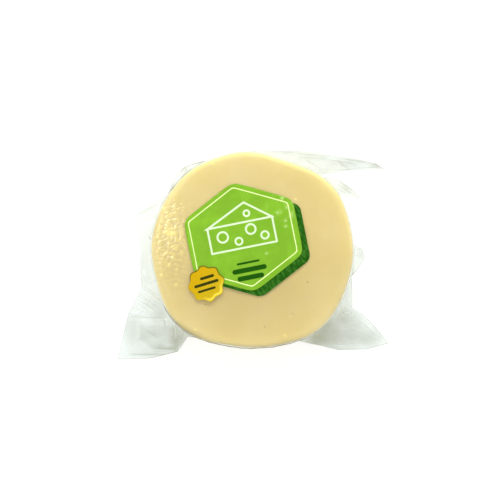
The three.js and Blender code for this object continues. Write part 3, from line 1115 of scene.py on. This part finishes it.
def even_ear_angles(sizes, ear):
    """Angles of an ear in even steps along a line between the wheel and its free edge.

    The line's running length over a fine scale of angles is cut into equal parts.
    """
    fine = np.radians(np.linspace(ear.start, ear.end, 2001))
    radius = wheel_radius(fine, sizes.wheel_diameter / 2)
    line = around_axis(fine, radius, SEAM_HEIGHT) + EVEN_STEPS_SHARE * ear_reach(ear, fine)
    length = np.linalg.norm(np.diff(line, axis=0), axis=-1)
    total = np.concatenate([[0], np.cumsum(length)])
    return np.interp(np.linspace(0, total[-1], ear.along), total, fine)


def ear_lift(flat, growth, sizes):
    """Rise and fall of an ear's film in metres, the same for both of its layers.

    It is the sum of random creases of three sizes and of the straight creases.
    """
    creases = sum(folds.share * crease_field(flat, folds.length * MM, folds.seed)
                  for folds in EAR_FOLDS)
    lift = growth * sizes.crease_depth * creases
    for crease in EAR_CREASES:
        lift += crease.height * MM * line_ridge(flat / MM, crease)
    return lift


def ear_tones(flat):
    """How grey and how light the film of an ear is at flat points in mm, as painted shade and
    highlight.

    The grey is a sum of ovals, a straight sided panel and the greyer creases; the light is a sum
    of the lighter creases.
    """
    shade = FLAP_TONE * smooth_step(straight_sided(flat, FLAP_PANEL), 0.9, -1.1)
    white = np.zeros(flat.shape[:-1])
    for tone in EAR_TONES:
        shade += oval(flat, tone)
    for crease in EAR_CREASES:
        ridge = line_ridge(flat, crease) ** CREASE_FALL
        shade += max(-crease.white, 0) * CREASE_GREY * ridge
        white += max(crease.white, 0) * ridge
    return shade, np.minimum(white, 1)


def ear_layer(sizes, ear, angle, shares, side):
    """One layer of an ear, from the wheel's side to the free edge, and its values.

    A point is the seam's point on the wall plus a share of the reach. The layers meet in a
    hollow curve like a tent's: they part with the square of the way from the free edge. side
    is 1 for the upper layer and -1 for the lower one.
    """
    reach = ear_reach(ear, angle)[:, None, :]
    length = np.linalg.norm(reach, axis=-1)
    fullness = np.clip(length / FULL_REACH, 0, 1)
    share = shares[None, :]
    root = wall_rows(sizes, angle, 0, np.array([SEAM_HEIGHT]))[0][:, None, :]
    points = root + share[..., None] * reach
    flat = points[..., :2]
    growth = fullness * smooth_step(share, 0, FULL_FOLDS_SHARE)
    pleat = PLEAT_DEPTH * fullness * share * np.cos(PLEATS_PER_TURN * angle)[:, None]
    own = crease_field(flat, LAYER_CREASE_LENGTH, seed=20 + side)
    own *= LAYER_CREASE_DEPTH * growth * (1 - share)
    spread = SEAM_THICKNESS + (EAR_ROOT_THICKNESS - SEAM_THICKNESS) * fullness
    apart = EAR_EDGE_THICKNESS + (spread - EAR_EDGE_THICKNESS) * (1 - share) ** 2
    points[..., 2] += pleat + ear_lift(flat, growth, sizes) + own + side * apart / 2
    lowest = EAR_CLEARANCE + (0.5 + 0.5 * side) * EAR_EDGE_THICKNESS
    points[..., 2] = np.maximum(points[..., 2], lowest)

    flat = flat / MM
    shade, white = ear_tones(flat)
    edge = hump((1 - share) * length / MM, EDGE_WIDTH)
    edge_tone = EDGE_TONE * np.ones(flat.shape[:-1])
    for clear in CLEAR_EDGES:
        edge_tone *= 1 - oval(flat, clear)
    return points, {"free": fullness * share, "white": white, "edge": edge,
                    "shade": shade + edge_tone * edge}


def build_film_ears(sizes, colours):
    """Ears of the bag, each a closed loop of two layers carried along the wheel's side.

    The loop runs out over the upper layer, back under the lower one and shuts inside the
    wheel, and it shrinks to a point at both ends of the ear.
    """
    for ear in BAG_EARS:
        angle = even_ear_angles(sizes, ear)
        shares = np.linspace(0, 1, ear.across)
        over, over_values = ear_layer(sizes, ear, angle, shares, 1)
        under, under_values = ear_layer(sizes, ear, angle, shares[::-1], -1)
        inward = -around_axis(angle, np.full_like(angle, EAR_ROOT_DEPTH), 0.0)[:, None, :]
        points = np.concatenate([over[:, :1] + inward, over, under, under[:, -1:] + inward],
                                axis=1)
        none = np.zeros((ear.along, 1))
        values = {key: np.concatenate([none, over_values[key], under_values[key], none], axis=1)
                  for key in over_values}
        hanging = values["free"] > CLINGING_SHARE
        values["bend"] = grid_bend(points) * (1 - values.pop("edge")) * hanging
        piece = add_closed_piece(
            f"film_ear_{ear.name}", points, points[0].mean(axis=0), points[-1].mean(axis=0),
            shared_film(colours), values)
        hand_over(piece, "bag")


# Stickers

# How round the corners of the dark sheet's pale margin are, in mm
MARGIN_SOFTNESS = 0.5
# White line on the label: its way inside the edge, half its width, how round its corners are
# and how far it was cut off centre, in mm
LINE_INSET = 2.55
LINE_HALF_WIDTH = 0.28
LINE_SOFTNESS = 0.45
LINE_SHIFT = (-0.4, 0.2)
# Line drawing of a wedge of cheese in mm: the corners of its top and of its cut side, the place
# and radius of each hole, half the width of its lines, and its place on the label
WEDGE_TOP = ((-17, 2.6), (17, 2.6), (4, 12.6))
WEDGE_SIDE = ((-17, 2.6), (-17, -10.4), (17, -10.4), (17, 2.6))
WEDGE_HOLES = ((-10.0, -3.0, 2.7), (-2.2, -6.6, 1.8), (5.0, -1.6, 2.5), (11.6, -6.0, 1.9),
               (4.4, 6.8, 1.5))
WEDGE_STROKE = 0.5
WEDGE_PLACE = (-0.5, 5.0)
# Printed bars with round ends: middle, length and width in mm
Bar = namedtuple("Bar", "x y length width")
LABEL_BARS = (Bar(-0.2, -13.2, 12, 1.1), Bar(-0.2, -16.9, 18, 2.5), Bar(-0.3, -20.9, 14, 2.5))
BADGE_BARS = (Bar(0.3, 3.3, 7.5, 1.5), Bar(0, 0, 13, 1.5), Bar(0.2, -3.2, 9.5, 1.2))
BADGE_BAR_TILT = math.radians(17)
# Where the label is puckered, as centre and spreads in mm, with the height and the length of
# its folds in mm and their painted sheen
LABEL_PUCKER = ((24.5, 13), (6, 7))
PUCKER_HEIGHT = 0.11
PUCKER_LENGTH = 5.0
PUCKER_SHEEN = 0.6
# Small bubbles under the label, with the height and the spreads of their rise in mm, and the
# strength and the spreads of their painted sheen
LABEL_BUBBLES = ((23.0, 4.0), (22.4, 1.2), (10.0, -10.5), (19.5, 9.0))
BUBBLE_HEIGHT = 0.16
BUBBLE_SPREAD = (0.6, 0.6)
BUBBLE_SHEEN = 0.45
BUBBLE_SHEEN_SPREAD = (0.7, 0.6)
MOST_SHEEN = 0.8
# Slow waves of the label's sheets: height and length in mm
SHEET_WAVE_HEIGHT = 0.02
SHEET_WAVE_LENGTH = 9.0
# The badge in mm: the rise of its lifted edge, the width of its dark line, and how far in its
# painted highlight, the lit line, runs and how wide it is
BADGE_LIFT = 0.4
BADGE_LINE_WIDTH = 0.55
LIT_LINE_INSET = 1.1
LIT_LINE_WIDTH = 0.6
# Rows of a sticker's upper and lower sheet, and columns round the label and the badge
UPPER_SHEET_ROWS = 64
LOWER_SHEET_ROWS = 14
LABEL_COLUMNS = 400
BADGE_COLUMNS = 320


def hexagon_sides(sizes):
    """Outward normals and distances of the label's six sides, upright, in mm."""
    half_width = sizes.label_width / 2 / MM
    half_height = sizes.label_height / 2 / MM
    half_side = sizes.label_side / 2 / MM
    across, along = np.array([half_height - half_side, half_width]) / math.hypot(
        half_height - half_side, half_width)
    normals = np.array([(1, 0), (across, along), (-across, along), (-1, 0), (-across, -along),
                        (across, -along)])
    slanted = half_height * along
    return normals, np.array([half_width, slanted, slanted, half_width, slanted, slanted])


def hexagon_radius(sizes, angle):
    """Radius in mm of the rounded six sided outline at each angle.

    Each side alone gives its distance over the cosine to its normal. The outline is their
    soft least: the sum of their inverses to a high power, to the inverse power.
    """
    normals, distances = hexagon_sides(sizes)
    toward = np.stack([np.cos(angle), np.sin(angle)], axis=-1) @ normals.T
    sharpness = 19
    inverse = np.clip(toward, 0, None) / distances
    return np.sum(inverse**sharpness, axis=-1) ** (-1 / sharpness)


def hexagon_inset(sizes, flat, softness):
    """Distance in mm from the label's edge to a point inside it, round at the corners.

    It is the soft least of the distances to the six sides, by sums of exponentials.
    """
    normals, distances = hexagon_sides(sizes)
    away = distances - flat @ normals.T
    return -softness * np.log(np.sum(np.exp(-away / softness), axis=-1))


def capsule(flat, bar, tilt):
    """Signed distance to a bar with round ends: the way to its middle line less half its width."""
    away = flat - np.array([bar.x, bar.y])
    along = away @ np.array([math.cos(tilt), math.sin(tilt)])
    across = away @ np.array([-math.sin(tilt), math.cos(tilt)])
    past = np.maximum(np.abs(along) - (bar.length - bar.width) / 2, 0)
    return np.hypot(past, across) - bar.width / 2


def printed_bars(flat, bars, tilt=0.0):
    """Signed distance to several bars: the least of the distances to each."""
    return np.minimum.reduce([capsule(flat, bar, tilt) for bar in bars])


def straight_sided(flat, corners):
    """Signed distance to a shape with straight sides: the greatest distance past any side."""
    corners = np.array(corners, dtype=float)
    sides = np.roll(corners, -1, axis=0) - corners
    normals = np.stack([sides[:, 1], -sides[:, 0]], axis=-1)
    normals /= np.linalg.norm(normals, axis=-1, keepdims=True)
    past = flat @ normals.T - np.sum(normals * corners, axis=-1)
    return np.max(past, axis=-1)


def wedge_picture(flat):
    """Signed distance to a line drawing of a wedge of cheese.

    It is the way to the outlines of its top, its cut side and its round holes, less half a
    line's width.
    """
    outlines = [straight_sided(flat, WEDGE_TOP), straight_sided(flat, WEDGE_SIDE)]
    for x, y, radius in WEDGE_HOLES:
        outlines.append(np.hypot(flat[..., 0] - x, flat[..., 1] - y) - radius)
    return np.minimum.reduce(np.abs(outlines)) - WEDGE_STROKE


def add_sticker(sizes, name, node, outline, tilt, material, print_values, lift):
    """Thin sticker: an upper sheet, a cut edge and a lower sheet as one closed surface.

    outline is the radius in mm for equal angles. Every row is a share of the way from the
    centre to it. print_values turns flat points in mm into the values that the material
    reads, and lift gives a rise in mm for each of them.
    """
    low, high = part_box(node)
    centre = (np.array(low[:2]) + np.array(high[:2])) / 2
    upper_shares = np.linspace(0, 1, UPPER_SHEET_ROWS)[1:]
    lower_shares = np.linspace(1, 0, LOWER_SHEET_ROWS)[:-1]
    shares = np.concatenate([upper_shares, lower_shares])
    angle = np.linspace(0, FULL_TURN, len(outline), endpoint=False)
    rim = np.stack([outline * np.cos(angle), outline * np.sin(angle)], axis=-1)
    flat = shares[:, None, None] * rim[None]
    turn = np.array([[math.cos(tilt), math.sin(tilt)], [-math.sin(tilt), math.cos(tilt)]])
    place = flat @ turn * MM + centre
    is_upper = (np.arange(len(shares)) < len(upper_shares))[:, None]
    swell = face_swell(place, sizes.face_swell)
    height = np.where(is_upper, high[2], low[2]) + swell + lift(flat) * MM
    points = np.concatenate([place, height[..., None]], axis=-1)
    middle = face_swell(centre, sizes.face_swell) + lift(np.zeros(2)) * MM
    piece = add_closed_piece(name, points, (*centre, high[2] + middle),
                             (*centre, low[2] + middle), material, print_values(flat))
    hand_over(piece, node)


def label_folds(flat):
    """Faceted folds of the puckered label: a crease field that its lift and painted sheen share.
    """
    return crease_field(flat, PUCKER_LENGTH, seed=31)


def label_sheen(flat):
    """Painted sheen, for light glancing off the label: where it is puckered, and on its bubbles.
    """
    puckered = PUCKER_SHEEN * bell(flat, *LABEL_PUCKER)
    sheen = puckered * smooth_step(label_folds(flat), 0.0, 1.0)
    for bubble in LABEL_BUBBLES:
        sheen += BUBBLE_SHEEN * bell(flat, bubble, BUBBLE_SHEEN_SPREAD)
    return np.minimum(sheen, MOST_SHEEN)


def build_label(sizes, colours):
    """The label's two sheets, the dark one under the light one and shifted to the right."""
    outline = hexagon_radius(sizes, np.linspace(0, FULL_TURN, LABEL_COLUMNS, endpoint=False))

    def dark_values(flat):
        """How far inside the edge each point lies, for the pale margin."""
        return {"inset": hexagon_inset(sizes, flat, MARGIN_SOFTNESS)}

    def light_values(flat):
        """Signed distances to the line, the drawing and the bars, and the painted sheen.

        The line's is the way from its inset, on either side, less half its width.
        """
        inset = hexagon_inset(sizes, flat - np.array(LINE_SHIFT), LINE_SOFTNESS)
        return {"line_print": np.abs(inset - LINE_INSET) - LINE_HALF_WIDTH,
                "white_print": wedge_picture(flat - np.array(WEDGE_PLACE)),
                "dark_print": printed_bars(flat, LABEL_BARS),
                "sheen": label_sheen(flat)}

    def flat_lie(flat):
        """Rise in mm of a sheet: slow waves."""
        return SHEET_WAVE_HEIGHT * wave_field(flat, SHEET_WAVE_LENGTH, seed=33, count=6)

    def puckered_lie(flat):
        """Rise in mm of the upper sheet: the same waves, with folds and small bubbles.

        The folds are faceted ones under a bell curve, and each bubble is a bell curve.
        """
        puckered = PUCKER_HEIGHT * bell(flat, *LABEL_PUCKER)
        rise = flat_lie(flat) + puckered * (label_folds(flat) + 1)
        for bubble in LABEL_BUBBLES:
            rise += BUBBLE_HEIGHT * bell(flat, bubble, BUBBLE_SPREAD)
        return rise

    add_sticker(sizes, "label_dark", "label_back", outline,
                sizes.label_tilt, print_material("dark_green_sticker", dark_field, colours),
                dark_values, flat_lie)
    add_sticker(sizes, "label_light", "label_front", outline,
                sizes.label_tilt, print_material("light_green_sticker", light_field, colours),
                light_values, puckered_lie)


def build_badge(sizes, colours):
    """Scalloped badge: its radius swells and dips once for each scallop."""
    mean_radius = sizes.badge_radius / MM

    def rim(angle):
        """Radius in mm at each angle: the mean radius plus a cosine for the scallops."""
        wave = np.cos(sizes.badge_scallops * (angle - sizes.badge_turn))
        return (sizes.badge_radius + sizes.badge_scallop * wave) / MM

    def slope(flat):
        """Way from the upper left to the lower right, from about -1 to 1 over the badge."""
        return (flat[..., 0] - flat[..., 1]) / (1.4 * mean_radius)

    def badge_values(flat):
        """The slope, the signed distances to the dark line and the bars, and the painted lit line.

        The dark line narrows to nothing down the sides, and the lit one is a hump.
        """
        radius = np.hypot(flat[..., 0], flat[..., 1])
        from_rim = rim(np.arctan2(flat[..., 1], flat[..., 0])) - radius
        upper = flat[..., 1] / np.maximum(radius, 0.1)
        line_width = BADGE_LINE_WIDTH * smooth_step(upper, -0.2, 0.6)
        lit = smooth_step(slope(flat), 0.35, 0.9) * hump(from_rim - LIT_LINE_INSET, LIT_LINE_WIDTH)
        return {"slope": slope(flat), "outline": from_rim - line_width, "lit": lit,
                "dark_print": printed_bars(flat, BADGE_BARS, BADGE_BAR_TILT)}

    def lifted_lie(flat):
        """Rise in mm of the lower right edge: smooth steps of the slope and of the way out."""
        share = np.hypot(flat[..., 0], flat[..., 1]) / mean_radius
        return BADGE_LIFT * smooth_step(slope(flat), 0.2, 1.0) * smooth_step(share, 0.75, 1.05)

    outline = rim(np.linspace(0, FULL_TURN, BADGE_COLUMNS, endpoint=False))
    add_sticker(sizes, "badge_yellow", "badge", outline, 0.0,
                print_material("yellow_sticker", badge_field, colours), badge_values, lifted_lie)


# Stage

CAMERA_LENS = 150
SENSOR_WIDTH = 36
PICTURE_PIXELS = 500
MM_PER_PIXEL = 0.5218
WHEEL_PIXEL = (252, 250)
SCALE_HEIGHT = 13.25 * MM
TENT_HORIZON = 1.25
TENT_ZENITH = 0.35
FLOOR_HALF = 1.6
FLOOR_DROP = 0.1 * MM
# Soft lamps in metres and watts, each seen either in glints or in matt light
Lamp = namedtuple("Lamp", "name place aim size power glints")
LAMPS = (
    Lamp("key_lamp", (0.08, 0.80, 0.42), (0, 0.02, 0.02), (0.80, 0.30), 7.3, False),
    Lamp("front_lamp", (-0.25, -0.45, 0.10), (0, 0, 0.02), (0.50, 0.15), 1.0, False),
    Lamp("overhead_lamp", (0, 0, 1.30), (0, 0, 0), (1.60, 1.60), 8.4, False),
    Lamp("sparkle_lamp", (-0.23, 0.14, 0.66), (-0.03, 0.01, 0.02), (0.25, 0.25), 0.7, True),
)


def add_lamp(lamp):
    """Soft rectangular lamp at its place, turned to its aim.

    It shows either in glossy reflections or in matt light, never in both.
    """
    data = bpy.data.lights.new(lamp.name, "AREA")
    data.shape = "RECTANGLE"
    data.size, data.size_y = lamp.size
    data.energy = lamp.power
    light = bpy.data.objects.new(lamp.name, data)
    bpy.context.scene.collection.objects.link(light)
    light.location = lamp.place
    way = Vector(lamp.aim) - Vector(lamp.place)
    light.rotation_euler = way.to_track_quat("-Z", "Y").to_euler()
    light.visible_glossy = lamp.glints
    light.visible_diffuse = not lamp.glints
    light.visible_transmission = not lamp.glints


def add_floor(colours):
    """Square floor, a hair under the pack."""
    corners = [(across * FLOOR_HALF, along * FLOOR_HALF, -FLOOR_DROP)
               for across, along in ((-1, -1), (1, -1), (1, 1), (-1, 1))]
    mesh = bpy.data.meshes.new("floor")
    mesh.from_pydata(corners, [], [(0, 1, 2, 3)])
    mesh.materials.append(floor_material(colours))
    floor = bpy.data.objects.new("floor", mesh)
    bpy.context.scene.collection.objects.link(floor)


def add_camera():
    """Camera straight above the pack, so far that a pixel is its size at half height."""
    data = bpy.data.cameras.new("camera")
    data.lens = CAMERA_LENS
    data.sensor_width = SENSOR_WIDTH
    camera = bpy.data.objects.new("camera", data)
    bpy.context.scene.collection.objects.link(camera)
    pixel = MM_PER_PIXEL * MM
    distance = PICTURE_PIXELS * pixel * CAMERA_LENS / SENSOR_WIDTH
    middle = PICTURE_PIXELS / 2
    camera.location = ((middle - WHEEL_PIXEL[0]) * pixel, (WHEEL_PIXEL[1] - middle) * pixel,
                       SCALE_HEIGHT + distance)
    bpy.context.scene.camera = camera


def build_stage(colours):
    """Floor, white surroundings like a light tent, lamps and the camera.

    The tent is brightest at the horizon and a little darker overhead.
    """
    scene = bpy.context.scene
    scene.view_settings.view_transform = "Standard"
    world = bpy.data.worlds.new("studio")
    world.use_nodes = True
    nodes = world.node_tree.nodes
    links = world.node_tree.links
    apart = nodes.new("ShaderNodeSeparateXYZ")
    rise = nodes.new("ShaderNodeMapRange")
    links.new(nodes.new("ShaderNodeTexCoord").outputs["Generated"], apart.inputs["Vector"])
    links.new(apart.outputs["Z"], rise.inputs["Value"])
    links.new(rise.outputs["Result"], nodes["Background"].inputs["Strength"])
    rise.inputs["To Min"].default_value = TENT_HORIZON
    rise.inputs["To Max"].default_value = TENT_ZENITH
    nodes["Background"].inputs["Color"].default_value = (1.0, 1.0, 1.0, 1.0)
    scene.world = world
    add_floor(colours)
    for lamp in LAMPS:
        add_lamp(lamp)
    add_camera()


# Operators, panel and registration


def settings(context):
    """The pack's sizes and colours, as the scene holds them."""
    return context.scene.cheese_pack_sizes, context.scene.cheese_pack_colours


class CHEESE_OT_stage(Operator):
    """Build the floor, the lamps and the camera"""

    bl_idname = "cheese.stage"
    bl_label = "Stage"

    def execute(self, context):
        build_stage(context.scene.cheese_pack_colours)
        return {"FINISHED"}


class CHEESE_OT_wheel(Operator):
    """Build the wheel of cheese"""

    bl_idname = "cheese.wheel"
    bl_label = "Wheel of cheese"

    def execute(self, context):
        build_cheese(*settings(context))
        return {"FINISHED"}


class CHEESE_OT_film_wrap(Operator):
    """Build the film that clings to the wheel"""

    bl_idname = "cheese.film_wrap"
    bl_label = "Clinging film"

    def execute(self, context):
        build_film_wrap(*settings(context))
        return {"FINISHED"}


class CHEESE_OT_film_ears(Operator):
    """Build the crumpled ears of the bag"""

    bl_idname = "cheese.film_ears"
    bl_label = "Ears of the bag"

    def execute(self, context):
        build_film_ears(*settings(context))
        return {"FINISHED"}


class CHEESE_OT_label(Operator):
    """Build the two sheets of the label"""

    bl_idname = "cheese.label"
    bl_label = "Label"

    def execute(self, context):
        build_label(*settings(context))
        return {"FINISHED"}


class CHEESE_OT_badge(Operator):
    """Build the scalloped badge"""

    bl_idname = "cheese.badge"
    bl_label = "Badge"

    def execute(self, context):
        build_badge(*settings(context))
        return {"FINISHED"}


OPERATORS = (CHEESE_OT_stage, CHEESE_OT_wheel, CHEESE_OT_film_wrap, CHEESE_OT_film_ears,
             CHEESE_OT_label, CHEESE_OT_badge)


class CHEESE_PT_pack(Panel):
    """Lists the pieces of the pack"""

    bl_idname = "CHEESE_PT_pack"
    bl_label = "Cheese pack"
    bl_space_type = "VIEW_3D"
    bl_region_type = "UI"
    bl_category = "Cheese"

    def draw(self, context):
        """One button for each operator."""
        for operator in OPERATORS:
            self.layout.operator(operator.bl_idname)


CLASSES = (CheesePackSizes, CheesePackColours, *OPERATORS, CHEESE_PT_pack)


def register():
    """Make the classes known, and give the scene its sizes and colours."""
    for cls in CLASSES:
        bpy.utils.register_class(cls)
    bpy.types.Scene.cheese_pack_sizes = PointerProperty(type=CheesePackSizes)
    bpy.types.Scene.cheese_pack_colours = PointerProperty(type=CheesePackColours)


def unregister():
    """Undo register, in the opposite order."""
    del bpy.types.Scene.cheese_pack_colours
    del bpy.types.Scene.cheese_pack_sizes
    for cls in reversed(CLASSES):
        bpy.utils.unregister_class(cls)


def main():
    """Build every piece in order."""
    register()
    bpy.ops.cheese.stage()
    bpy.ops.cheese.wheel()
    bpy.ops.cheese.film_wrap()
    bpy.ops.cheese.film_ears()
    bpy.ops.cheese.label()
    bpy.ops.cheese.badge()


if __name__ == "__main__":
    main()
